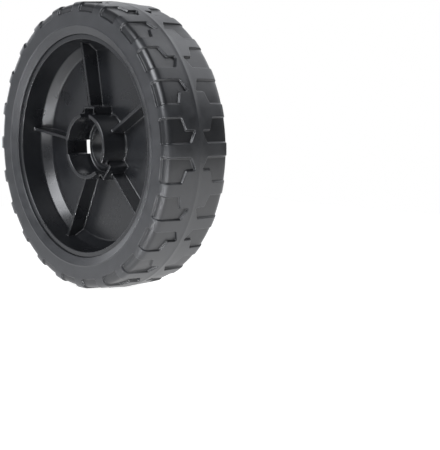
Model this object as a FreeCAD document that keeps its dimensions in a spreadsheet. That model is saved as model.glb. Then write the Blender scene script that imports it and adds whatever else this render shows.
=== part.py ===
import FreeCAD, Part
import math
import os
import re

import Sketcher

# A lawn mower wheel of two pieces: a moulded rim and the tyre that is held between its flanges.
# The axle is the Y axis, the middle of the tread is at Y = 0 and the ribbed outer face looks to -Y.
# Lengths are in millimetres and angles in degrees, turned from +X towards +Z.
SIZES = {
    # Tyre section
    "tyre_radius": 102.3,
    "tyre_width": 54.8,
    "tyre_height": 25.8,
    "crown_drop": 2.0,
    "tread_inset": 1.6,
    "shoulder_height": 5.6,
    "bead_height": 5.5,
    "bead_drop": 2.6,
    # Tread recesses: each is open to the shoulder and ends in a sawtooth near the middle of the tread,
    # on the near side it cuts into the sidewall and on the far side it runs out at the shoulder
    "pitch_pairs": 12,
    "recess_width": 17.0,
    "recess_depth": 2.0,
    "recess_edge_depth": 1.1,
    "recess_side_depth": 0.9,
    "recess_side_height": 0.4,
    "tooth_long_side": 7.3,
    "tooth_tip": 2.9,
    "tooth_step": 10.4,
    "tooth_short_side": 13.3,
    # Seat of the tyre on the rim
    "rim_width": 46.8,
    "flange_wall": 1.8,
    "flange_height": 2.2,
    # Barrel, cone and web of the rim
    "lip_wall": 1.5,
    "barrel_wall": 2.5,
    "cone_outer_depth": 15.9,
    "cone_run": 5.5,
    "web_depth": 22.4,
    "web_wall": 2.2,
    # Hub and bearing tube
    "hub_radius": 23.4,
    "hub_wall": 2.9,
    "hub_end_depth": 2.9,
    "hub_foot_chamfer": 1.2,
    "bore_radius": 15.0,
    "tube_wall": 2.7,
    "tube_near_rise": 2.0,
    "tube_far_depth": 2.9,
    "edge_chamfer": 0.4,
    # Ribs on both faces of the web
    "rib_count": 5,
    "rib_angle": 28.0,
    "rib_wall": 2.2,
    "rib_depth_at_lip": 10.4,
    "rib_depth_at_hub": 11.9,
    # Key channels beside the hub
    "key_top_angle": 89.0,
    "key_rear_angle": 184.0,
    "key_front_angle": 318.0,
    "key_width": 10.0,
    "key_reach": 3.1,
    "key_wall": 1.5,
    "key_end_depth": 6.9,
    "key_clearance": 0.4,
    # How far an added wall reaches into the wall that carries it
    "root_depth": 0.8,
}

KEY_ANGLES = ("key_top_angle", "key_rear_angle", "key_front_angle")
CUT_MARGIN = 5.0
MATCH = 0.01

# Radii of the tyre and the rim, all carried by the tyre's radius
TREAD_EDGE = "(tyre_radius - crown_drop)"
SHOULDER_FOOT = f"({TREAD_EDGE} - shoulder_height)"
RECESS_FOOT = f"({SHOULDER_FOOT} - recess_side_height)"
RECESS_EDGE = f"({TREAD_EDGE} - recess_edge_depth)"
SEAT = "(tyre_radius - tyre_height)"
SIDEWALL_FOOT = f"({SEAT} + bead_height)"
FLANGE = f"({SEAT} + flange_height)"
LIP = f"({SEAT} - lip_wall)"
BARREL = f"({SEAT} - barrel_wall)"
WEB_OUTER = f"({BARREL} - cone_run)"
SOCKET = "(hub_radius - hub_wall)"
TUBE = "(bore_radius + tube_wall)"
KEY_FLOOR = "(hub_radius + key_reach)"

# Places along the axle
TYRE_SIDE = "(tyre_width / 2)"
TREAD_SIDE = f"({TYRE_SIDE} - tread_inset)"
BEAD_SIDE = f"({TYRE_SIDE} - bead_drop)"
NEAR_END = "(-rim_width / 2)"
FAR_END = "(rim_width / 2)"
SEAT_SIDE = f"({FAR_END} - flange_wall)"
WEB_NEAR = f"({NEAR_END} + web_depth)"
WEB_FAR = f"({WEB_NEAR} + web_wall)"
CONE_NEAR = f"({NEAR_END} + cone_outer_depth)"
CONE_RISE = "(web_depth - cone_outer_depth)"
CONE_LENGTH = f"sqrt(cone_run ^ 2 + {CONE_RISE} ^ 2)"
CONE_FAR = f"({CONE_NEAR} + web_wall * {CONE_LENGTH} / cone_run)"


def sheet_terms(text):
    """Write every size named in an expression as the cell that holds it."""
    return re.sub(r"[a-z_]+", lambda word: "Sizes." + word[0] if word[0] in SIZES else word[0], text)


def make_sheet(doc):
    sheet = doc.addObject("Spreadsheet::Sheet", "Sizes")
    for row, (name, value) in enumerate(SIZES.items(), 1):
        sheet.set(f"A{row}", name)
        sheet.set(f"B{row}", str(value))
        sheet.setAlias(f"B{row}", name)
    doc.recompute()
    return sheet


def value_of(body, text):
    result = body.evalExpression(sheet_terms(text))
    return float(getattr(result, "Value", result))


def origin_feature(body, role):
    return next(item for item in body.Origin.OriginFeatures if item.Role == role)


def make_sketch(body, name, plane, turn_axis=None, turn=None, lift=None):
    """An empty sketch on an origin plane, turned by an angle and lifted along its own normal."""
    sketch = body.newObject("Sketcher::SketchObject", name)
    sketch.AttachmentSupport = [(origin_feature(body, plane), "")]
    sketch.MapMode = "FlatFace"
    if turn_axis is not None:
        sketch.AttachmentOffset = FreeCAD.Placement(FreeCAD.Vector(), FreeCAD.Rotation(turn_axis, 1.0))
        sketch.setExpression("AttachmentOffset.Rotation.Angle", f"({sheet_terms(turn)}) * 1 deg")
    if lift is not None:
        sketch.setExpression("AttachmentOffset.Base.z", sheet_terms(lift))
    return sketch


def draw_outline(body, sketch, corners):
    """A closed outline of straight edges, with each (x, y) corner bound to the sheet."""
    points = [FreeCAD.Vector(value_of(body, x), value_of(body, y), 0) for x, y in corners]
    for number, end in enumerate(points):
        sketch.addGeometry(Part.LineSegment(points[number - 1], end), False)
    for number, (x, y) in enumerate(corners):
        following = (number + 1) % len(corners)
        sketch.addConstraint(Sketcher.Constraint("Coincident", number, 2, following, 1))
        for kind, size, text in (("DistanceX", points[number].x, x), ("DistanceY", points[number].y, y)):
            index = sketch.addConstraint(Sketcher.Constraint(kind, -1, 1, number, 2, size))
            sketch.setExpression(f"Constraints[{index}]", sheet_terms(text))


def both_sides(half):
    """An outline given from -Y to the middle, carried on to +Y as its mirror image."""
    return half + [(x, f"-({y})") for x, y in reversed(half) if y != "0"]


def revolve(body, name, sketch):
    turned = body.newObject("PartDesign::Revolution", name)
    turned.Profile = sketch
    turned.ReferenceAxis = (sketch, ["V_Axis"])
    turned.Angle = 360.0
    body.Document.recompute()
    return turned


def ring_edges(body, feature, places):
    """Names of the circular edges about the axle at the given (radius, y) places."""
    targets = [(value_of(body, radius), value_of(body, y)) for radius, y in places]
    names = []
    for number, edge in enumerate(feature.Shape.Edges, 1):
        if not isinstance(edge.Curve, Part.Circle):
            continue
        place = (edge.Curve.Radius, edge.Curve.Center.y)
        if any(math.dist(place, target) < MATCH for target in targets):
            names.append(f"Edge{number}")
    if len(names) < len(targets):
        raise RuntimeError(f"{feature.Name}: {len(names)} of {len(targets)} edges found")
    return names


def check_cut(before, after):
    if after.Shape.Volume >= before.Shape.Volume:
        raise RuntimeError(f"{after.Name} cuts nothing")


def chamfer_edges(body, name, feature, places, size):
    """A chamfer on the circular edges at the given (radius, y) places."""
    cut = body.newObject("PartDesign::Chamfer", name)
    cut.Base = (feature, ring_edges(body, feature, places))
    cut.setExpression("Size", sheet_terms(size))
    body.Document.recompute()
    return cut


def build_tyre(doc):
    """Bars and ridge are a ring cut by the recesses, and the core that closes them below is added last."""
    body = doc.addObject("PartDesign::Body", "Tyre")
    layer = make_sketch(body, "tread_section", "XY_Plane")
    draw_outline(body, layer, both_sides([
        (RECESS_FOOT, f"-{TYRE_SIDE}"),
        (SHOULDER_FOOT, f"-{TYRE_SIDE}"),
        (TREAD_EDGE, f"-{TREAD_SIDE}"),
        ("tyre_radius", "0"),
    ]))
    tread = revolve(body, "tread_ring", layer)

    outline = make_sketch(body, "recess_outline", "XY_Plane", FreeCAD.Vector(0, 1, 0), "90 - 90 / pitch_pairs")
    open_end = f"-({TYRE_SIDE} + {CUT_MARGIN})"
    draw_outline(body, outline, [
        ("recess_width / 2", open_end),
        ("recess_width / 2", "-tooth_long_side"),
        ("0", "-tooth_tip"),
        ("0", "-tooth_step"),
        ("-recess_width / 2", "-tooth_short_side"),
        ("-recess_width / 2", open_end),
    ])
    recess = body.newObject("PartDesign::Pocket", "recess")
    recess.Profile = outline
    recess.Reversed = True
    recess.setExpression("Length", sheet_terms(f"tyre_radius + {CUT_MARGIN}"))
    doc.recompute()
    check_cut(tread, recess)
    check_cut(recess, repeat_recess(body, recess))

    core = make_sketch(body, "core_section", "XY_Plane")
    draw_outline(body, core, [
        (SEAT, f"-{SEAT_SIDE}"),
        (FLANGE, f"-{SEAT_SIDE}"),
        (FLANGE, f"-{BEAD_SIDE}"),
        (SIDEWALL_FOOT, f"-{TYRE_SIDE}"),
        (RECESS_FOOT, f"-{TYRE_SIDE}"),
        (RECESS_FOOT, f"-({TYRE_SIDE} - recess_side_depth)"),
        (RECESS_EDGE, f"-({TREAD_SIDE} - recess_side_depth)"),
        ("tyre_radius - recess_depth", "0"),
        (RECESS_EDGE, TREAD_SIDE),
        (SHOULDER_FOOT, TYRE_SIDE),
        (SIDEWALL_FOOT, TYRE_SIDE),
        (FLANGE, BEAD_SIDE),
        (FLANGE, SEAT_SIDE),
        (SEAT, SEAT_SIDE),
    ])
    body.Tip = revolve(body, "core", core)
    return body


def repeat_recess(body, recess):
    """The recess mirrored to its pair, mirrored to the other shoulder and carried round the tread."""
    doc = body.Document
    steps = []
    for name, plane in (("pair", "XY_Plane"), ("far_shoulder", "XZ_Plane")):
        mirror = body.newObject("PartDesign::Mirrored", name)
        mirror.MirrorPlane = (origin_feature(body, plane), [""])
        steps.append(mirror)
    ring = body.newObject("PartDesign::PolarPattern", "round_the_tread")
    ring.Axis = (origin_feature(body, "Y_Axis"), [""])
    ring.Angle = 360.0
    ring.setExpression("Occurrences", sheet_terms("pitch_pairs"))
    steps.append(ring)
    repeated = body.newObject("PartDesign::MultiTransform", "recesses")
    repeated.Originals = [recess]
    repeated.Transformations = steps
    body.Tip = repeated
    doc.recompute()
    return repeated


def build_rim(doc):
    body = doc.addObject("PartDesign::Body", "Rim")
    rim_section(body)
    add_ribs(body, "near_rib", near_rib_outline(), "rib_angle")
    add_ribs(body, "far_rib", far_rib_outline(), "rib_angle + 180 / rib_count")
    add_keys(body)
    return body


def rim_section(body):
    """Barrel with two flanges, a cone down to the web, the hub socket and the bearing tube."""
    section = make_sketch(body, "rim_section", "XY_Plane")
    hub_end = f"{NEAR_END} + hub_end_depth"
    tube_near = f"{WEB_NEAR} - tube_near_rise"
    tube_far = f"{FAR_END} - tube_far_depth"
    draw_outline(body, section, [
        (LIP, NEAR_END),
        (BARREL, CONE_NEAR),
        (WEB_OUTER, WEB_NEAR),
        ("hub_radius", WEB_NEAR),
        ("hub_radius", hub_end),
        (SOCKET, hub_end),
        (SOCKET, WEB_NEAR),
        (TUBE, WEB_NEAR),
        (TUBE, tube_near),
        ("bore_radius", tube_near),
        ("bore_radius", tube_far),
        (TUBE, tube_far),
        (TUBE, WEB_FAR),
        (f"{WEB_OUTER} + web_wall * ({CONE_LENGTH} - cone_run) / {CONE_RISE}", WEB_FAR),
        (BARREL, CONE_FAR),
        (LIP, FAR_END),
        (FLANGE, FAR_END),
        (FLANGE, SEAT_SIDE),
        (SEAT, SEAT_SIDE),
        (SEAT, f"-{SEAT_SIDE}"),
        (FLANGE, f"-{SEAT_SIDE}"),
        (FLANGE, NEAR_END),
    ])
    turned = revolve(body, "turned_rim", section)
    footed = chamfer_edges(body, "hub_foot", turned, [("hub_radius", WEB_NEAR)], "hub_foot_chamfer")
    ends = [(LIP, NEAR_END), ("hub_radius", hub_end), (SOCKET, hub_end)]
    chamfer_edges(body, "eased_edges", footed, ends, "edge_chamfer")


def near_rib_outline():
    """From the hub wall over the web and the cone to the barrel, with an edge that falls a little to the hub."""
    hub_end = "hub_radius - root_depth"
    lip_end = f"{BARREL} + root_depth"
    floor = f"{WEB_NEAR} + root_depth"
    cone_foot = f"{CONE_NEAR} + root_depth"
    return [
        (hub_end, floor),
        (WEB_OUTER, floor),
        (BARREL, cone_foot),
        (lip_end, cone_foot),
        (lip_end, f"{NEAR_END} + rib_depth_at_lip"),
        (hub_end, f"{NEAR_END} + rib_depth_at_hub"),
    ]


def far_rib_outline():
    """From the bearing tube over the web to the barrel, halfway between the near ribs and as far from their lip."""
    tube_end = f"{TUBE} - root_depth"
    lip_end = f"{BARREL} + root_depth"
    floor = f"{WEB_FAR} - root_depth"
    return [
        (tube_end, floor),
        (WEB_OUTER, floor),
        (lip_end, f"{CONE_FAR} - root_depth"),
        (lip_end, f"{FAR_END} - rib_depth_at_lip"),
        (tube_end, f"{FAR_END} - rib_depth_at_hub"),
    ]


def add_ribs(body, name, outline, angle):
    sketch = make_sketch(body, f"{name}_outline", "XY_Plane", FreeCAD.Vector(0, 1, 0), f"-({angle})")
    draw_outline(body, sketch, outline)
    rib = body.newObject("PartDesign::Pad", name)
    rib.Profile = sketch
    rib.SideType = "Symmetric"
    rib.setExpression("Length", sheet_terms("rib_wall"))
    body.Document.recompute()
    ribs = body.newObject("PartDesign::PolarPattern", f"{name}s")
    ribs.Originals = [rib]
    ribs.Axis = (origin_feature(body, "Y_Axis"), [""])
    ribs.Angle = 360.0
    ribs.setExpression("Occurrences", sheet_terms("rib_count"))
    body.Tip = ribs
    body.Document.recompute()


def add_keys(body):
    """Three keyways through hub wall and web, each boxed in by a channel on the outside of the hub."""
    for number, angle in enumerate(KEY_ANGLES, 1):
        channel = key_outline(body, f"channel_outline_{number}", angle, f"-({WEB_NEAR} + root_depth)",
                              "hub_radius - root_depth", f"{KEY_FLOOR} + key_wall", "key_width / 2 + key_wall")
        wall = body.newObject("PartDesign::Pad", f"channel_{number}")
        wall.Profile = channel
        wall.setExpression("Length", sheet_terms("web_depth + root_depth - key_end_depth"))
        body.Document.recompute()
    for number, angle in enumerate(KEY_ANGLES, 1):
        keyway = key_outline(body, f"keyway_outline_{number}", angle, f"-({NEAR_END})",
                             f"{TUBE} + key_clearance", KEY_FLOOR, "key_width / 2")
        uncut = body.Tip
        slot = body.newObject("PartDesign::Pocket", f"keyway_{number}")
        slot.Profile = keyway
        slot.setExpression("Length", sheet_terms(f"web_depth + web_wall + {CUT_MARGIN}"))
        body.Document.recompute()
        check_cut(uncut, slot)


def key_outline(body, name, angle, lift, inner, outer, half_width):
    sketch = make_sketch(body, name, "XZ_Plane", FreeCAD.Vector(0, 0, 1), angle, lift)
    draw_outline(body, sketch, [
        (inner, f"-({half_width})"),
        (outer, f"-({half_width})"),
        (outer, half_width),
        (inner, half_width),
    ])
    return sketch


def check_objects(doc):
    for item in doc.Objects:
        if "Invalid" in item.State or "Error" in item.State:
            raise RuntimeError(f"{item.Name} failed: {item.State}")


def export(label, body):
    body.Label = label
    shape = body.Shape
    if shape.isNull() or not shape.isValid() or len(shape.Solids) != 1:
        raise RuntimeError(f"{label}: not one valid solid")
    shape.exportStep(f"parts/{label}.step")


def main():
    doc = FreeCAD.newDocument("mower_wheel")
    make_sheet(doc)
    pieces = {"rim": build_rim(doc), "tyre": build_tyre(doc)}
    doc.recompute()
    check_objects(doc)
    os.makedirs("parts", exist_ok=True)
    for label, body in pieces.items():
        export(label, body)


main()
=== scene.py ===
import math

import bmesh
import bpy
from mathutils import Matrix, Vector
from mathutils.geometry import delaunay_2d_cdt


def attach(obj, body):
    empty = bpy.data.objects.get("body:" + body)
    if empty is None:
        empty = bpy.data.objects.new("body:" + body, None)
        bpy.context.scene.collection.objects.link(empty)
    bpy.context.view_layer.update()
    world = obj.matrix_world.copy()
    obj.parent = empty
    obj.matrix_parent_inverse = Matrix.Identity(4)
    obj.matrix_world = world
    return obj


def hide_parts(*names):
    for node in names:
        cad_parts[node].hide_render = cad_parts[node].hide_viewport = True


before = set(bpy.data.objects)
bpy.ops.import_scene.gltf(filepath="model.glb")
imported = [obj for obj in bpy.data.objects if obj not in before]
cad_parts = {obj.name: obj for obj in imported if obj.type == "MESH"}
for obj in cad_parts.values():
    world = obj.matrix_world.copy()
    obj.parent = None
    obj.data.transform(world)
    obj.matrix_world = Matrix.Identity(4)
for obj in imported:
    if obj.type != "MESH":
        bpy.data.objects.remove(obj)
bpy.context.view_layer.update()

# Sizes are in millimetres where no other unit is named; Blender's own unit is the metre.
MM = 0.001

# Half of the tyre's section, from the low ridge of the parting line over tread, shoulder and sidewall, past a
# fine moulded ring at the bead, to the seat on the rim. Each corner has its distance from the middle plane,
# its radius, its rounding and the longest step between stations on the way to the next corner.
TYRE_SECTION = [
    (0.0, 102.2, 0.0, 1.0),
    (0.6, 102.06, 0.0, 3.2),
    (26.6, 100.9, 5.5, 2.0),
    (27.35, 94.7, 3.0, 2.2),
    (27.1, 85.7, 0.0, 1.0),
    (27.08, 85.1, 0.0, 1.0),
    (27.4, 84.4, 0.3, 1.0),
    (26.9, 83.5, 0.0, 1.0),
    (26.6, 82.8, 0.0, 2.0),
    (24.6, 78.7, 0.5, 2.0),
    (21.6, 78.7, 0.0, 2.0),
    (21.6, 76.5, 0.0, 8.0),
    (0.0, 76.5, 0.0, 8.0),
]

# A rounded corner of the section is divided at least every so many degrees, and into no fewer parts than
# these.
SECTION_ARC_DEGREES = 12.0
SECTION_ARC_PARTS = 3

# The tread is made of pairs of mirrored pitches with one recess at each shoulder. A pitch takes this angle in
# degrees.
PITCH_PAIRS = 12
PITCH_ANGLE = 360.0 / PITCH_PAIRS / 2

# A recess is drawn flat in the middle of its pitch: x is round the wheel, y is the run along the section.
# These are half the widths of the flat pitch and of the recess.
PITCH_HALF = 13.0
RECESS_HALF = 8.5

# Depth of a recess at the middle plane and at the tread's edge, and that edge's distance from the plane.
RECESS_DEPTH = 2.0
RECESS_EDGE_DEPTH = 1.1
TREAD_EDGE = 23.0

# Distances of the sawtooth's corners from the middle plane.
TOOTH_LONG_SIDE = 7.3
TOOTH_TIP = 2.9
TOOTH_STEP = 10.4
TOOTH_SHORT_SIDE = 13.3

# Radius and depth at the foot of a recess: on the near side it cuts into the sidewall, on the far side it
# runs out at the shoulder.
NEAR_FOOT = (94.3, 1.4)
FAR_FOOT = (94.7, 0.0)

# Roundings of a recess's corners seen from outside, at the tooth and at the foot, the least rounding that is
# left when the outline is moved, and the parts of each rounded corner.
TOOTH_ROUND = 1.0
FOOT_ROUND = 1.8
LEAST_ROUND = 0.2
CORNER_PARTS = 4

# Numbers of the edges of a recess's outline that run along its sides.
SHORT_SIDE_EDGE = 3
LONG_SIDE_EDGE = 5

# Lines that follow a recess's outline from the land over its rounded edge and drafted wall to its floor:
# (distance outside the outline, share of the depth).
RECESS_LINES = [
    (0.9, 0.0), (0.55, 0.0), (0.38, 0.04), (0.25, 0.13), (0.1, 0.32), (-0.1, 0.62),
    (-0.25, 0.82), (-0.42, 0.94), (-0.7, 1.0), (-1.2, 1.0),
]

# Points of the flat drawing: spacing along the edges of the tooth and the foot, margins of the points along
# the sides, columns across a pitch, and how far the points of land and floor stay from the lines above.
EDGE_SPACING = 2.6
TOOTH_MARGIN = 3.2
FOOT_MARGIN = 3.4
COLUMNS = 10
LAND_CLEARANCE = 0.6
FLOOR_CLEARANCE = 0.7

# Flat points closer than the first value would be one point, and triangles of less than the second, a doubled
# area in mm2, lie along a straight line of points and are left out.
FILL_TOLERANCE = 1e-4
SLIVER = 1e-4

# Points of neighbouring pitches that are closer than this become one.
JOIN_DISTANCE = 0.005

# Point attribute for the rubber's painted shade, by how deep a point lies: 0 on the lands, 1 on a recess
# floor.
RECESS_SHARE = "recess_share"

# Roundings of the moulded rim: at the roots of walls, along their edges, and as a share of a thin wall.
ROOT_ROUND = 1.0
EDGE_ROUND = 0.45
ROUND_OF_WALL = 0.4
ROUND_SEGMENTS = 3

# Edges of the rim that bend less than the first angle belong to a curved face and stay, and faces that bend
# less than the second are one flat face. Points closer than the distance are one point.
SOFT_BEND = math.radians(28)
FLAT_BEND = math.radians(0.6)
MERGE_DISTANCE = 0.003

# How strongly the large faces of the rim keep their own shading beside the rounds, of 100.
LARGE_FACE_WEIGHT = 80

# The light table: half its width in metres, the height of its top under the lugs, and how far to each side of
# the wheel, in metres, its glow changes.
TABLE_HALF = 0.6
TABLE_TOP = -102.3
GLOW_REACH = 0.15

# Round softboxes: azimuth and elevation in degrees, distance and width in metres, power in watts.
SOFTBOXES = {
    "backdrop": (-132.0, 22.0, 1.6, 2.4, 15.5),
    "back_right": (166.0, 38.0, 1.8, 1.6, 14.5),
    "front": (15.0, 38.0, 1.8, 1.3, 50.0),
    "under_right": (45.0, -25.0, 1.2, 0.6, 5.5),
    "under_front": (4.0, -30.0, 1.3, 1.1, 10.0),
    "front_left": (-52.0, 14.0, 2.0, 1.4, 3.4),
    "left": (-88.0, 6.0, 1.8, 0.9, 5.5),
}
DAYLIGHT_TUBES = "#f8faff"

# The photograph's size, the wheel's centre in it and the focal length, in pixels.
IMAGE_WIDTH = 440
IMAGE_HEIGHT = 450
CENTRE_X = 107.58
CENTRE_Y = 145.4
FOCAL_PIXELS = 1302.6

# The photograph's viewpoint, fitted to the wheel's outline: degrees, and the distance of the wheel's centre.
CAMERA_AZIMUTH = 48.45
CAMERA_ELEVATION = 5.95
CAMERA_DISTANCE = 935.2
SENSOR_WIDTH = 36.0


def linear(code):
    """An sRGB hex colour as linear RGBA."""
    levels = [int(code[i:i + 2], 16) / 255 for i in (1, 3, 5)]
    return tuple(v / 12.92 if v <= 0.04045 else ((v + 0.055) / 1.055) ** 2.4 for v in levels) + (1.0,)


def add(tree, kind, inputs=None, **settings):
    """Add a node with its settings; each input is a value or the output socket that feeds it."""
    node = tree.nodes.new(kind)
    for name, value in settings.items():
        setattr(node, name, value)
    for name, value in (inputs or {}).items():
        if isinstance(value, bpy.types.NodeSocket):
            tree.links.new(value, node.inputs[name])
        else:
            node.inputs[name].default_value = value
    return node


def new_material(name):
    """An empty material and its node tree."""
    material = bpy.data.materials.new(name)
    material.use_nodes = True
    material.node_tree.nodes.clear()
    return material, material.node_tree


def link(item):
    """Put an object into the scene."""
    bpy.context.scene.collection.objects.link(item)


def gloss_moulded_polypropylene():
    """Black polypropylene from a polished mould: deep black, soft gloss, faint flow waves, dusty patches."""
    material, tree = new_material("gloss_moulded_polypropylene")
    place = add(tree, "ShaderNodeTexCoord").outputs["Object"]
    patches = add(tree, "ShaderNodeTexNoise", {"Vector": place, "Scale": 1 / (22 * MM), "Detail": 4.0})
    haze = add(tree, "ShaderNodeMapRange", {
        "Value": patches.outputs["Fac"], "From Min": 0.3, "From Max": 0.75, "To Min": 0.25, "To Max": 0.34})
    tint = add(tree, "ShaderNodeMapRange", {
        "Value": patches.outputs["Fac"], "From Min": 0.35, "From Max": 0.75})
    colour = add(tree, "ShaderNodeMix", {"Factor": tint.outputs["Result"], "A": linear("#111214"),
                                         "B": linear("#18191b")}, data_type="RGBA")
    waves = add(tree, "ShaderNodeTexNoise", {"Vector": place, "Scale": 1 / (7 * MM), "Detail": 2.0})
    peel = add(tree, "ShaderNodeTexNoise", {"Vector": place, "Scale": 1 / (1.6 * MM), "Detail": 3.0})
    broad = add(tree, "ShaderNodeBump", {
        "Height": waves.outputs["Fac"], "Strength": 0.12, "Distance": 0.5 * MM})
    fine = add(tree, "ShaderNodeBump", {
        "Height": peel.outputs["Fac"], "Strength": 0.06, "Distance": 0.1 * MM,
        "Normal": broad.outputs["Normal"]})
    shader = add(tree, "ShaderNodeBsdfPrincipled", {
        "Base Color": colour.outputs["Result"], "Roughness": haze.outputs["Result"],
        "IOR": 1.49, "Normal": fine.outputs["Normal"]})
    add(tree, "ShaderNodeOutputMaterial", {"Surface": shader.outputs["BSDF"]})
    return material


def matt_moulded_rubber():
    """Carbon-black rubber from a grained mould: dark grey, broad dull sheen, fine grain, faint mottling."""
    material, tree = new_material("matt_moulded_rubber")
    place = add(tree, "ShaderNodeTexCoord").outputs["Object"]
    mottle = add(tree, "ShaderNodeTexNoise", {"Vector": place, "Scale": 1 / (9 * MM), "Detail": 5.0})
    tint = add(tree, "ShaderNodeMapRange", {
        "Value": mottle.outputs["Fac"], "From Min": 0.3, "From Max": 0.72})
    colour = add(tree, "ShaderNodeMix", {"Factor": tint.outputs["Result"], "A": linear("#1b1c1e"),
                                         "B": linear("#252628")}, data_type="RGBA")
    # Painted shade: the floors of the recesses are darker than the lands between them, and their walls darken
    # with depth.
    share = add(tree, "ShaderNodeAttribute", attribute_name=RECESS_SHARE).outputs["Fac"]
    painted_recess_shade = add(tree, "ShaderNodeMix", {"Factor": share, "A": colour.outputs["Result"],
                                        "B": linear("#141517")}, data_type="RGBA")
    dull = add(tree, "ShaderNodeMapRange", {
        "Value": mottle.outputs["Fac"], "From Min": 0.3, "From Max": 0.75, "To Min": 0.32, "To Max": 0.42})
    # The mould's grain is about 0.2 mm; it is drawn at 0.7 mm so that it still shows at this distance.
    grain = add(tree, "ShaderNodeTexNoise", {"Vector": place, "Scale": 1 / (0.7 * MM), "Detail": 2.0})
    bump = add(tree, "ShaderNodeBump", {
        "Height": grain.outputs["Fac"], "Strength": 0.14, "Distance": 0.15 * MM})
    shader = add(tree, "ShaderNodeBsdfPrincipled", {
        "Base Color": painted_recess_shade.outputs["Result"], "Roughness": dull.outputs["Result"],
        "IOR": 1.52, "Normal": bump.outputs["Normal"]})
    add(tree, "ShaderNodeOutputMaterial", {"Surface": shader.outputs["BSDF"]})
    return material


def white_light_table():
    """White acrylic of a light table: a pale ground that glows, more at the right; shadows stay faint."""
    material, tree = new_material("white_light_table")
    place = add(tree, "ShaderNodeTexCoord").outputs["Object"]
    rightward = add(tree, "ShaderNodeSeparateXYZ", {"Vector": place}).outputs["X"]
    glow = add(tree, "ShaderNodeMapRange", {
        "Value": rightward, "From Min": -GLOW_REACH, "From Max": GLOW_REACH, "To Min": 0.55, "To Max": 1.3})
    shader = add(tree, "ShaderNodeBsdfPrincipled", {
        "Base Color": linear("#b4b4b4"), "Roughness": 0.8, "IOR": 1.49,
        "Emission Color": linear("#ffffff"), "Emission Strength": glow.outputs["Result"]})
    add(tree, "ShaderNodeOutputMaterial", {"Surface": shader.outputs["BSDF"]})
    return material


def corner_round(here, before, after, rounding):
    """The arc that rounds a flat corner: its middle, its first radius and the angle that it turns through.

    before and after are the directions from the corner to its neighbours.
    """
    half = before.angle(after) / 2
    reach = rounding / math.tan(half)
    middle = here + (before + after).normalized() * (rounding / math.sin(half))
    first = here + before * reach - middle
    turn = (here + after * reach - middle).angle_signed(first)
    return middle, first, turn


def arc_points(middle, first, turn, parts):
    """Points along an arc, both ends among them."""
    return [middle + Matrix.Rotation(turn * part / parts, 2) @ first for part in range(parts + 1)]


def section_points(corners):
    """Points (distance, radius) along a section, its corners rounded and the edges between them divided."""
    bends = []
    for number, (across, radius, rounding, _) in enumerate(corners):
        here = Vector((across, radius))
        if rounding == 0.0:
            bends.append([here])
            continue
        before = (Vector(corners[number - 1][:2]) - here).normalized()
        after = (Vector(corners[number + 1][:2]) - here).normalized()
        middle, first, turn = corner_round(here, before, after, rounding)
        parts = max(SECTION_ARC_PARTS, math.ceil(abs(math.degrees(turn)) / SECTION_ARC_DEGREES))
        bends.append(arc_points(middle, first, turn, parts))
    points = []
    for bend, following, (_, _, _, step) in zip(bends, bends[1:], corners):
        start, end = bend[-1], following[0]
        parts = max(1, math.ceil((end - start).length / step))
        points.extend(bend)
        points.extend(start.lerp(end, part / parts) for part in range(1, parts))
    return points + bends[-1]


def section_stations(corners):
    """Stations (run, distance, radius, outward normal) along a section."""
    points = section_points(corners)
    stations = []
    run = 0.0
    for number, here in enumerate(points):
        along = Vector((0.0, 0.0))
        if number:
            run += (here - points[number - 1]).length
            along += (here - points[number - 1]).normalized()
        if number + 1 < len(points):
            along += (points[number + 1] - here).normalized()
        along.normalize()
        stations.append((run, here.x, here.y, Vector((-along.y, along.x))))
    return stations


def station_at(stations, run):
    """Distance, radius and outward normal of the section at a run along it."""
    for first, second in zip(stations, stations[1:]):
        if run <= second[0]:
            share = (run - first[0]) / (second[0] - first[0])
            across = first[1] + share * (second[1] - first[1])
            radius = first[2] + share * (second[2] - first[2])
            return across, radius, first[3].lerp(second[3], share).normalized()
    return stations[-1][1:]


def run_where(stations, test):
    """First run along the section where a test of distance and radius turns from below to above 0."""
    for first, second in zip(stations, stations[1:]):
        low, high = test(*first[1:3]), test(*second[1:3])
        if low < 0.0 <= high:
            return first[0] + (second[0] - first[0]) * low / (low - high)
    raise ValueError("no such place on the section")


def outline_line(corners, roundings, outside, side_runs):
    """The outline moved outwards by a distance, corners rounded, with points along each edge.

    side_runs gives the runs at which the points of an edge lie; the other edges are divided evenly.
    """
    count = len(corners)
    moved = []
    for number in range(count):
        here = Vector(corners[number])
        before = (here - Vector(corners[number - 1])).normalized()
        after = (Vector(corners[(number + 1) % count]) - here).normalized()
        out_before = Vector((before.y, -before.x))
        out_after = Vector((after.y, -after.x))
        corner = (out_before + out_after) / (1.0 + out_before.dot(out_after))
        moved.append((here + corner * outside, before.cross(after)))
    arcs = []
    for number, (here, bend) in enumerate(moved):
        before = (moved[number - 1][0] - here).normalized()
        after = (moved[(number + 1) % count][0] - here).normalized()
        rounding = max(LEAST_ROUND, roundings[number] + (outside if bend > 0 else -outside))
        arcs.append(arc_points(*corner_round(here, before, after, rounding), CORNER_PARTS))
    line = []
    for number, arc in enumerate(arcs):
        following = (number + 1) % count
        start, end = arc[-1], arcs[following][0]
        line.extend(arc)
        if number in side_runs:
            line.extend(start.lerp(end, (run - start.y) / (end.y - start.y)) for run in side_runs[number])
        else:
            length = (Vector(corners[following]) - Vector(corners[number])).length
            parts = max(2, round(length / EDGE_SPACING))
            line.extend(start.lerp(end, part / parts) for part in range(1, parts))
    return line


def inside(point, line):
    """True if a flat point lies within a closed line."""
    result = False
    for first, second in zip(line, line[1:] + line[:1]):
        if (first.y > point.y) != (second.y > point.y):
            if point.x < first.x + (second.x - first.x) * (point.y - first.y) / (second.y - first.y):
                result = not result
    return result


def clearance(point, line):
    """Distance from a flat point to the nearest point of a line."""
    return min((point - other).length for other in line)


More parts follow.
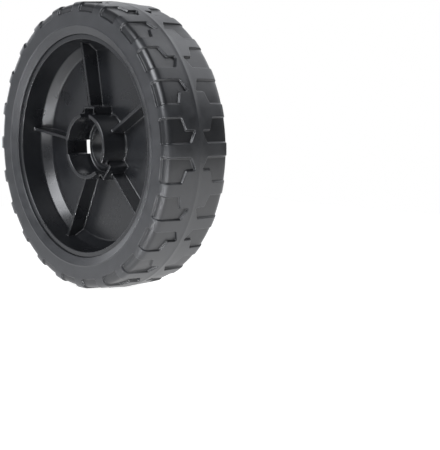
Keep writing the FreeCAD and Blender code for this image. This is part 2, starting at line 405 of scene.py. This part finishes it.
def fill(line, others, border):
    """Triangles over flat points, either inside a closed line or, with a border, outside it."""
    points = list(line) + list(others)
    edges = [(i, (i + 1) % len(line)) for i in range(len(line))]
    verts, _, faces, origins, _, _ = delaunay_2d_cdt(points, edges, [], 0, FILL_TOLERANCE)
    if len(verts) != len(points):
        raise ValueError("the fill merged or added points")
    kept = []
    for face in faces:
        first, second, third = (Vector(verts[i]) for i in face)
        if abs((second - first).cross(third - first)) < SLIVER:
            continue
        if inside((first + second + third) / 3, line) != border:
            kept.append([origins[i][0] for i in face])
    return points, kept


def tread_pitch():
    """The tyre's section over one recess at each shoulder and half of the bars beside it, as a mesh."""
    mesh = bmesh.new()
    mesh.verts.layers.float.new(RECESS_SHARE)
    stations = section_stations(TYRE_SECTION)
    add_half_section(mesh, stations, -1, *NEAR_FOOT)
    add_half_section(mesh, stations, 1, *FAR_FOOT)
    data = bpy.data.meshes.new("tread_pitch")
    mesh.to_mesh(data)
    mesh.free()
    return data


def angle_round_axle(x, radius):
    """Angle for a place across the flat pitch: a recess keeps its width, and the bars take what is left."""
    half_angle = math.degrees(math.asin(RECESS_HALF / radius))
    if abs(x) <= RECESS_HALF:
        angle = x / RECESS_HALF * half_angle
    else:
        beyond = (abs(x) - RECESS_HALF) / (PITCH_HALF - RECESS_HALF)
        angle = math.copysign(half_angle + beyond * (PITCH_ANGLE / 2 - half_angle), x)
    return math.radians(PITCH_ANGLE / 2 + angle)


def add_half_section(mesh, stations, side, foot_radius, foot_depth):
    """Add one side of the tread, shoulder, sidewall and seat with its recess to the mesh."""
    share_layer = mesh.verts.layers.float[RECESS_SHARE]
    foot = run_where(stations, lambda across, radius: foot_radius - radius)
    edge = run_where(stations, lambda across, radius: across - TREAD_EDGE)
    tooth = {width: run_where(stations, lambda across, radius: across - width)
             for width in (TOOTH_LONG_SIDE, TOOTH_TIP, TOOTH_STEP, TOOTH_SHORT_SIDE)}
    outline = [
        (-RECESS_HALF, tooth[TOOTH_LONG_SIDE]), (0.0, tooth[TOOTH_TIP]), (0.0, tooth[TOOTH_STEP]),
        (RECESS_HALF, tooth[TOOTH_SHORT_SIDE]), (RECESS_HALF, foot), (-RECESS_HALF, foot),
    ]
    roundings = [TOOTH_ROUND] * 4 + [FOOT_ROUND] * 2
    runs = [station[0] for station in stations]

    def runs_below(corner):
        """Runs of the stations along a recess's side, clear of the corners at its ends."""
        return [run for run in runs if tooth[corner] + TOOTH_MARGIN < run < foot - FOOT_MARGIN]

    side_runs = {SHORT_SIDE_EDGE: runs_below(TOOTH_SHORT_SIDE),
                 LONG_SIDE_EDGE: list(reversed(runs_below(TOOTH_LONG_SIDE)))}
    lines = [outline_line(outline, roundings, outside, side_runs) for outside, _ in RECESS_LINES]

    columns = [-PITCH_HALF + 2 * PITCH_HALF * part / COLUMNS for part in range(COLUMNS + 1)]
    grid = [Vector((x, run)) for run in runs for x in columns]
    land_line, floor_line = lines[0], lines[-1]
    land_points = [p for p in grid if not inside(p, land_line) and clearance(p, land_line) > LAND_CLEARANCE]
    floor_points = [p for p in grid if inside(p, floor_line) and clearance(p, floor_line) > FLOOR_CLEARANCE]

    def depth_at(run):
        """Depth of the recess's floor at a run along the section."""
        if run < edge:
            return RECESS_DEPTH + (RECESS_EDGE_DEPTH - RECESS_DEPTH) * run / edge
        past_edge = min((run - edge) / (foot - edge), 1.0)
        return RECESS_EDGE_DEPTH + (foot_depth - RECESS_EDGE_DEPTH) * past_edge

    def lifted(point, share):
        """Vertex on the wheel for a flat point, sunk by a share of the recess's depth."""
        across, radius, normal = station_at(stations, point.y)
        depth = depth_at(point.y)
        angle = angle_round_axle(point.x, radius)
        across -= share * depth * normal.x
        radius -= share * depth * normal.y
        place = Vector((radius * math.cos(angle), side * across, radius * math.sin(angle)))
        vert = mesh.verts.new(place * MM)
        vert[share_layer] = share
        return vert

    loops = [[lifted(point, share) for point in line] for line, (_, share) in zip(lines, RECESS_LINES)]
    faces = []
    for outer, inner in zip(loops, loops[1:]):
        for number in range(len(outer)):
            following = (number + 1) % len(outer)
            corners = (outer[number], outer[following], inner[following], inner[number])
            faces.append(mesh.faces.new(corners))
    for line, loop, others, border, share in ((land_line, loops[0], land_points, True, 0.0),
                                              (floor_line, loops[-1], floor_points, False, 1.0)):
        points, filled = fill(line, others, border)
        corners = loop + [lifted(point, share) for point in points[len(line):]]
        faces.extend(mesh.faces.new([corners[i] for i in face]) for face in filled)
    bmesh.ops.recalc_face_normals(mesh, faces=faces)
    if sum(face.normal.dot(face.calc_center_median()) for face in faces) < 0:
        bmesh.ops.reverse_faces(mesh, faces=faces)


def tread_repeat_tree():
    """Nodes that mirror a pitch to its pair and set the pairs round the axle."""
    tree = bpy.data.node_groups.new("tread_repeat", "GeometryNodeTree")
    tree.interface.new_socket("Pitch", in_out="INPUT", socket_type="NodeSocketGeometry")
    tree.interface.new_socket("Pairs", in_out="INPUT", socket_type="NodeSocketInt")
    tree.interface.new_socket("Join Distance", in_out="INPUT", socket_type="NodeSocketFloat")
    tree.interface.new_socket("Rubber", in_out="INPUT", socket_type="NodeSocketMaterial")
    tree.interface.new_socket("Tyre", in_out="OUTPUT", socket_type="NodeSocketGeometry")
    given = add(tree, "NodeGroupInput").outputs
    turned = add(tree, "GeometryNodeTransform", {"Geometry": given["Pitch"], "Scale": (1, 1, -1)})
    flipped = add(tree, "GeometryNodeFlipFaces", {"Mesh": turned.outputs["Geometry"]})
    pair = add(tree, "GeometryNodeJoinGeometry", {"Geometry": given["Pitch"]})
    tree.links.new(flipped.outputs["Mesh"], pair.inputs["Geometry"])
    pair_turn = add(tree, "ShaderNodeMath", {0: math.tau, 1: given["Pairs"]}, operation="DIVIDE")
    number = add(tree, "GeometryNodeInputIndex").outputs["Index"]
    angle = add(tree, "ShaderNodeMath", {0: number, 1: pair_turn.outputs["Value"]}, operation="MULTIPLY")
    turn = add(tree, "ShaderNodeCombineXYZ", {"Y": angle.outputs["Value"]})
    points = add(tree, "GeometryNodePoints", {"Count": given["Pairs"]})
    ring = add(tree, "GeometryNodeInstanceOnPoints", {"Points": points.outputs["Points"],
                                                      "Instance": pair.outputs["Geometry"],
                                                      "Rotation": turn.outputs["Vector"]})
    real = add(tree, "GeometryNodeRealizeInstances", {"Geometry": ring.outputs["Instances"]})
    joined = add(tree, "GeometryNodeMergeByDistance", {"Geometry": real.outputs["Geometry"],
                                                       "Distance": given["Join Distance"]})
    smooth = add(tree, "GeometryNodeSetShadeSmooth", {"Geometry": joined.outputs["Geometry"]})
    coated = add(tree, "GeometryNodeSetMaterial", {"Geometry": smooth.outputs["Geometry"],
                                                   "Material": given["Rubber"]})
    add(tree, "NodeGroupOutput", {"Tyre": coated.outputs["Geometry"]})
    return tree


def plain_mesh(source, name):
    """The evaluated object as a plain mesh object of its own at the origin, in place of the source."""
    bpy.context.view_layer.update()
    graph = bpy.context.evaluated_depsgraph_get()
    data = bpy.data.meshes.new_from_object(source.evaluated_get(graph), depsgraph=graph)
    data.name = name
    bpy.data.objects.remove(source)
    piece = bpy.data.objects.new(name, data)
    link(piece)
    return piece


def tyre_piece(rubber):
    """The rubber ring, from one drawn pitch of its tread, shoulders and sidewalls."""
    source = bpy.data.objects.new("tyre_source", tread_pitch())
    link(source)
    modifier = source.modifiers.new("tread_repeat", "NODES")
    modifier.node_group = tread_repeat_tree()
    sockets = {item.name: item.identifier for item in modifier.node_group.interface.items_tree}
    modifier[sockets["Pairs"]] = PITCH_PAIRS
    modifier[sockets["Join Distance"]] = JOIN_DISTANCE * MM
    modifier[sockets["Rubber"]] = rubber
    piece = plain_mesh(source, "tyre_rubber")
    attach(piece, "root")
    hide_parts("tyre")


def round_share(edge):
    """Share of the largest rounding for an edge of the moulding.

    Roots of walls are rounder than their edges, and a thin wall's edges are sharper.
    """
    if len(edge.link_faces) != 2 or edge.calc_face_angle() < SOFT_BEND:
        return 0.0
    start, end = (vert.co for vert in edge.verts)
    along = (end - start).normalized()
    room = min(max((vert.co - start).cross(along).length for vert in face.verts) for face in edge.link_faces)
    wanted = ROOT_ROUND if edge.calc_face_angle_signed() < 0 else EDGE_ROUND
    return min(wanted, ROUND_OF_WALL * room / MM) / ROOT_ROUND


def rim_piece(plastic):
    """The moulding with the small rounds that a mould leaves on every edge."""
    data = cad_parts["rim"].data.copy()
    data.name = "rim_source"
    mesh = bmesh.new()
    mesh.from_mesh(data)
    bmesh.ops.remove_doubles(mesh, verts=mesh.verts, dist=MERGE_DISTANCE * MM)
    bmesh.ops.dissolve_limit(mesh, angle_limit=FLAT_BEND, verts=mesh.verts, edges=mesh.edges)
    bmesh.ops.connect_verts_concave(mesh, faces=mesh.faces)
    weight = mesh.edges.layers.float.new("bevel_weight_edge")
    for edge in mesh.edges:
        edge[weight] = round_share(edge)
    mesh.to_mesh(data)
    mesh.free()
    data.materials.clear()
    data.materials.append(plastic)
    data.polygons.foreach_set("use_smooth", [True] * len(data.polygons))
    source = bpy.data.objects.new("rim_source", data)
    link(source)
    rounds = source.modifiers.new("edge_rounds", "BEVEL")
    rounds.width = ROOT_ROUND * MM
    rounds.segments = ROUND_SEGMENTS
    rounds.limit_method = "WEIGHT"
    rounds.use_clamp_overlap = False
    even = source.modifiers.new("even_faces", "WEIGHTED_NORMAL")
    even.mode = "FACE_AREA"
    even.weight = LARGE_FACE_WEIGHT
    piece = plain_mesh(source, "rim_moulding")
    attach(piece, "root")
    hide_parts("rim")


def direction(azimuth, elevation):
    """Unit vector towards a place seen from the wheel; azimuth 0 is -Y and 90 is +X."""
    around, above = math.radians(azimuth), math.radians(elevation)
    return Vector((math.sin(around) * math.cos(above), -math.cos(around) * math.cos(above), math.sin(above)))


def stage_and_light():
    """The light table, the softboxes round it and the white backdrop."""
    half = TABLE_HALF
    ground = TABLE_TOP * MM
    floor_data = bpy.data.meshes.new("floor")
    corners = [(-half, -half, ground), (half, -half, ground), (half, half, ground), (-half, half, ground)]
    floor_data.from_pydata(corners, [], [(0, 1, 2, 3)])
    floor_data.materials.append(white_light_table())
    floor = bpy.data.objects.new("floor", floor_data)
    link(floor)
    # The acrylic lets the lamps under the table through.
    floor.visible_shadow = False

    for name, (azimuth, elevation, distance, width, power) in SOFTBOXES.items():
        lamp = bpy.data.lights.new(name, "AREA")
        lamp.shape = "DISK"
        lamp.size = width
        lamp.energy = power
        lamp.color = linear(DAYLIGHT_TUBES)[:3]
        # A reflected ray towards a lamp under the table ends at the floor, so such a lamp lights by shadow
        # rays alone.
        lamp.cycles.use_multiple_importance_sampling = elevation > 0.0
        toward = direction(azimuth, elevation)
        holder = bpy.data.objects.new(name, lamp)
        holder.location = toward * distance
        holder.rotation_euler = toward.to_track_quat("Z", "Y").to_euler()
        holder.visible_camera = False
        link(holder)

    # A white backdrop behind the wheel, in a room that is dim all round.
    world = bpy.data.worlds.new("studio")
    world.use_nodes = True
    tree = world.node_tree
    tree.nodes.clear()
    seen = add(tree, "ShaderNodeLightPath").outputs["Is Camera Ray"]
    level = add(tree, "ShaderNodeMapRange", {"Value": seen, "To Min": 0.1, "To Max": 1.0})
    backdrop = add(tree, "ShaderNodeBackground", {
        "Color": linear("#ffffff"), "Strength": level.outputs["Result"]})
    add(tree, "ShaderNodeOutputWorld", {"Surface": backdrop.outputs["Background"]})
    bpy.context.scene.world = world
    bpy.context.scene.view_settings.view_transform = "Standard"


def photo_camera():
    """The photograph's viewpoint, moved aside so that the wheel's centre lies at its pixel."""
    distance = CAMERA_DISTANCE * MM
    back = direction(CAMERA_AZIMUTH, CAMERA_ELEVATION)
    right = direction(CAMERA_AZIMUTH + 90.0, 0.0)
    up = back.cross(right)
    aside = (CENTRE_X - IMAGE_WIDTH / 2) / FOCAL_PIXELS * distance
    above = (IMAGE_HEIGHT / 2 - CENTRE_Y) / FOCAL_PIXELS * distance
    place = back * distance - right * aside - up * above
    data = bpy.data.cameras.new("camera")
    data.sensor_width = SENSOR_WIDTH
    data.lens = FOCAL_PIXELS * SENSOR_WIDTH / max(IMAGE_WIDTH, IMAGE_HEIGHT)
    camera = bpy.data.objects.new("camera", data)
    turn = Matrix((right, up, back)).transposed()
    camera.matrix_world = Matrix.Translation(place) @ turn.to_4x4()
    link(camera)
    bpy.context.scene.camera = camera


tyre_piece(matt_moulded_rubber())
rim_piece(gloss_moulded_polypropylene())
stage_and_light()
photo_camera()
